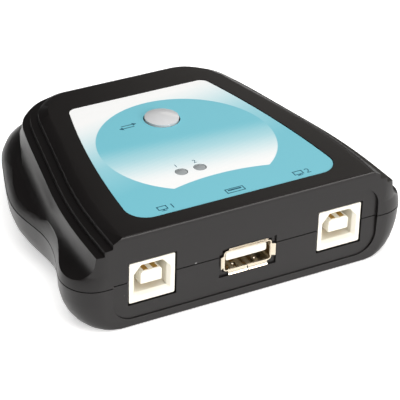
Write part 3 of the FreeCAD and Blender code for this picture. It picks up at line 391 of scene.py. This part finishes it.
def label_film():
    """Satin film printed in cyan: a shaded disc with a bowed front edge, on a ground that pales backwards."""
    finish = Finish("label_film")
    point = finish.place()
    across = finish.axis(point, "X") * (1 / MM)
    along = finish.axis(point, "Y") * (1 / MM)
    screen = finish.node("ShaderNodeTexWave", {"bands_direction": "DIAGONAL"},
                         {"Vector": point, "Scale": SCREEN_LINES})

    def distance(middle):
        """How far a point is from a middle that lies on the label's line of symmetry."""
        return (across * across + (along - middle) * (along - middle)).root()

    def shaded(tints, span, lean, shift):
        """A print that changes its tint along the label."""
        start, end = span
        stops = [((place - start) / (end - start), tint(white)) for place, white in tints]
        position = along + across * lean + (screen - 0.5) * shift
        share = (position - start) / (end - start)
        return finish.node("ShaderNodeValToRGB", {"stops": stops}, {"Fac": share})

    disc = distance(DISC_MIDDLE).rise(DISC_RADIUS + BLEED, DISC_RADIUS - BLEED)
    past_bow = distance(BOW_MIDDLE).rise(BOW_RADIUS - BLEED, BOW_RADIUS + BLEED)
    inner = shaded(DISC_TINTS, DISC_SPAN, DISC_LEAN, DISC_SCREEN)
    ground = shaded(GROUND_TINTS, GROUND_SPAN, GROUND_LEAN, GROUND_SCREEN)
    finish.feed("Base Color", finish.mix(disc * past_bow, ground, inner))
    sheen = finish.noise(finish.stretched(point, (90.0, 420.0, 1.0)), 6.0)
    finish.feed("Roughness", 0.30 + sheen * 0.12)
    finish.bump(screen, 0.04, FILM_DEPTH)
    return finish.material


def plain(name, darkest, lightest, roughness, metallic=0.0):
    """A moulded or plated finish with a slight mottle in colour and gloss."""
    finish = Finish(name, Metallic=metallic)
    point = finish.place()
    cloud = finish.noise(point, MOTTLES)
    fine = finish.noise(point, MOTTLES * 12)
    finish.feed("Base Color", finish.mix(cloud, colour(*darkest), colour(*lightest)))
    finish.feed("Roughness", roughness + fine * 0.12 - 0.06)
    finish.bump(fine, 0.1, TEXTURE_DEPTH)
    return finish.material


def make_finishes():
    """Every finish by its name."""
    made = {name: plain(name, *look) for name, look in PLAIN_FINISHES.items()}
    made["case_plastic"] = case_plastic()
    made["label_film"] = label_film()
    return made


# ---------------------------------------------------------------- pieces

def rounded_copy(node, name, body, slot, width, segments=3, soften=None, front_radius=None):
    """A merged copy of a CAD node with its sharp edges rounded; soften gives an edge's share of the width."""
    mesh = nodes[node].data.copy()
    shape = bmesh.new()
    shape.from_mesh(mesh)
    bmesh.ops.remove_doubles(shape, verts=shape.verts, dist=MERGED * MM)
    bmesh.ops.dissolve_limit(shape, angle_limit=math.radians(FLAT_ANGLE), verts=shape.verts,
                             edges=shape.edges)
    if front_radius:
        round_front_edge(shape, front_radius * MM)
    weight = shape.edges.layers.float.new("bevel_weight_edge")
    for edge in shape.edges:
        if len(edge.link_faces) == 2 and edge.calc_face_angle(0.0) > math.radians(SHARP_ANGLE):
            edge[weight] = soften(edge) if soften else 1.0
    shape.to_mesh(mesh)
    shape.free()
    mesh.materials.clear()
    mesh.materials.append(finishes[slot])
    mesh.shade_smooth()
    piece = bpy.data.objects.new(name, mesh)
    bpy.context.scene.collection.objects.link(piece)
    bevel = piece.modifiers.new("edges", "BEVEL")
    bevel.width = width * MM
    bevel.segments = segments
    bevel.limit_method = "WEIGHT"
    normals = piece.modifiers.new("shading", "WEIGHTED_NORMAL")
    normals.keep_sharp = False
    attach(piece, body)
    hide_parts(node)
    return piece


def round_front_edge(shape, radius):
    """Rounds the long edge between the top and the front face, further down the front than along the top."""
    front = min(vertex.co.y for vertex in shape.verts)
    top = max(vertex.co.z for vertex in shape.verts)

    def on_edge(vertex):
        return vertex.co.y < front + NEAR_EDGE * MM and vertex.co.z > top - NEAR_EDGE * MM

    edges = [edge for edge in shape.edges if all(on_edge(vertex) for vertex in edge.verts)]
    made = bmesh.ops.bevel(shape, geom=edges, offset=radius, offset_type="OFFSET", affect="EDGES", segments=6,
                           profile=0.5, material=-1, clamp_overlap=False)
    face = min(vertex.co.y for vertex in made["verts"])
    for vertex in made["verts"]:
        vertex.co.y = face + (vertex.co.y - face) * EDGE_DEPTH_SHARE


def case_edge(edge):
    """Share of the rounding that a case edge gets: half as much on the front face as elsewhere."""
    on_front = all(vertex.co.y < PANEL_FACE * MM for vertex in edge.verts)
    return 0.5 if on_front else 1.0


# ---------------------------------------------------------------- printed marks

LABEL_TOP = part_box("face_label")[1][2]


def add_mark(name, mesh):
    """A printed mark: a thin layer of ink that moves with the case."""
    mesh.materials.clear()
    mesh.materials.append(finishes["label_ink"])
    piece = bpy.data.objects.new(name, mesh)
    bpy.context.scene.collection.objects.link(piece)
    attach(piece, "case")


def numeral(name, text, x, y, height):
    """A printed number, its middle at x and y in millimetres."""
    curve = bpy.data.curves.new(name, "FONT")
    curve.body = text
    curve.align_x = "CENTER"
    curve.align_y = "CENTER"
    curve.size = height * FONT_SIZE * MM
    curve.extrude = INK * MM
    letters = bpy.data.objects.new(name + "_curve", curve)
    mesh = bpy.data.meshes.new_from_object(letters)
    bpy.data.objects.remove(letters)
    mesh.transform(Matrix.Translation((x * MM, y * MM, LABEL_TOP)))
    add_mark(name, mesh)


def at(x, y, width=1.0, height=1.0, turn=0.0):
    """Place of a flat shape on the label, in millimetres and degrees."""
    return (Matrix.Translation((x * MM, y * MM, LABEL_TOP)) @ Matrix.Rotation(math.radians(turn), 4, "Z")
            @ Matrix.Diagonal((width * MM, height * MM, 1.0, 1.0)))


def bar(shape, x, y, width, height):
    """A filled rectangle, its middle at x and y."""
    bmesh.ops.create_grid(shape, x_segments=1, y_segments=1, size=0.5, matrix=at(x, y, width, height))


def frame_line(shape, x, y, width, height):
    """A rectangle drawn with a line."""
    for way in (-1, 1):
        bar(shape, x, y + way * (height - MARK_LINE) / 2, width, MARK_LINE)
        bar(shape, x + way * (width - MARK_LINE) / 2, y, MARK_LINE, height - 2 * MARK_LINE)


def arrow_head(shape, x, y, radius, turn):
    """A filled triangle, turned by some degrees."""
    bmesh.ops.create_circle(shape, cap_ends=True, segments=3, radius=1.0,
                            matrix=at(x, y, radius, radius, turn))


def pictogram(name, draw):
    """A mark made of the flat shapes that draw adds, which are given the thickness of the ink."""
    shape = bmesh.new()
    draw(shape)
    top = bmesh.ops.extrude_face_region(shape, geom=shape.faces[:], use_keep_orig=True)
    moved = [item for item in top["geom"] if isinstance(item, bmesh.types.BMVert)]
    bmesh.ops.translate(shape, verts=moved, vec=(0, 0, INK * MM))
    bmesh.ops.recalc_face_normals(shape, faces=shape.faces)
    mesh = bpy.data.meshes.new(name)
    shape.to_mesh(mesh)
    shape.free()
    add_mark(name, mesh)


def draw_screen(x, y):
    """A computer: a screen on a short foot."""
    def draw(shape):
        frame_line(shape, x, y + 0.2, 2.6, 1.7)
        bar(shape, x, y - 0.8, 0.4, 0.3)
        bar(shape, x, y - 1.06, 1.5, 0.22)
    return draw


def draw_flat_socket(x, y):
    """The flat socket: a rectangle with a bar in its upper half."""
    def draw(shape):
        frame_line(shape, x, y, 5.0, 2.0)
        bar(shape, x, y + 0.25, 3.6, 0.55)
    return draw


def draw_exchange(x, y):
    """Two arrows that point apart."""
    def draw(shape):
        for way in (1, -1):
            bar(shape, x, y + way * 0.55, 3.2, 0.3)
            arrow_head(shape, x + way * 1.9, y + way * 0.55, 0.75, way * -90)
    return draw


def make_marks():
    """A screen and a number by each square socket, marks by the flat one and the button, light numbers."""
    for number, x in SOCKET_MARKS.items():
        pictogram(f"screen_mark_{number}", draw_screen(x - 1.4, SOCKET_MARKS_Y))
        numeral(f"socket_number_{number}", number, x + 1.2, SOCKET_MARKS_Y, SOCKET_DIGIT)
    pictogram("flat_socket_mark", draw_flat_socket(FLAT_SOCKET_MARK_X, SOCKET_MARKS_Y))
    pictogram("exchange_mark", draw_exchange(*EXCHANGE_MARK))
    for number, x in LIGHT_MARKS.items():
        numeral(f"light_number_{number}", number, x, LIGHT_MARKS_Y, LIGHT_DIGIT)


# ---------------------------------------------------------------- the whole switch

def paint_nodes():
    """Gives each CAD node the finish of its slot."""
    for row in frame["record"]["subparts"]:
        node = nodes[row["node"]]
        node.data.materials.clear()
        node.data.materials.append(finishes[row["material_slot"]])


def make_snap_dome():
    """The dome under the button, on a mesh of its own."""
    dome = rounded_copy("switch_dome", "snap_dome", "case", "plated_sheet", 0.02, segments=2)
    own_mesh(dome)


def make_pieces():
    """The pieces that stand for CAD nodes, then the printed marks; the widths are in millimetres."""
    rounded_copy("top_shell", "upper_case", "case", "case_plastic", 0.3, soften=case_edge, front_radius=1.3)
    rounded_copy("bottom_shell", "lower_case", "case", "case_plastic", 0.3, soften=case_edge)
    for number in (1, 2):
        rounded_copy(f"pc_socket_{number}_housing", f"square_socket_{number}", "case", "socket_plastic", 0.12)
    rounded_copy("device_socket_shell", "flat_socket", "case", "plated_sheet", 0.08, segments=2)
    rounded_copy("device_socket_tongue", "flat_socket_tongue", "case", "socket_plastic", 0.12)
    make_snap_dome()
    rounded_copy("select_button", "button_cap", "button", "button_plastic", 0.4, segments=5)
    make_marks()


finishes = make_finishes()
make_camera()
make_lights()
make_floor(floor_finish())
paint_nodes()
make_pieces()
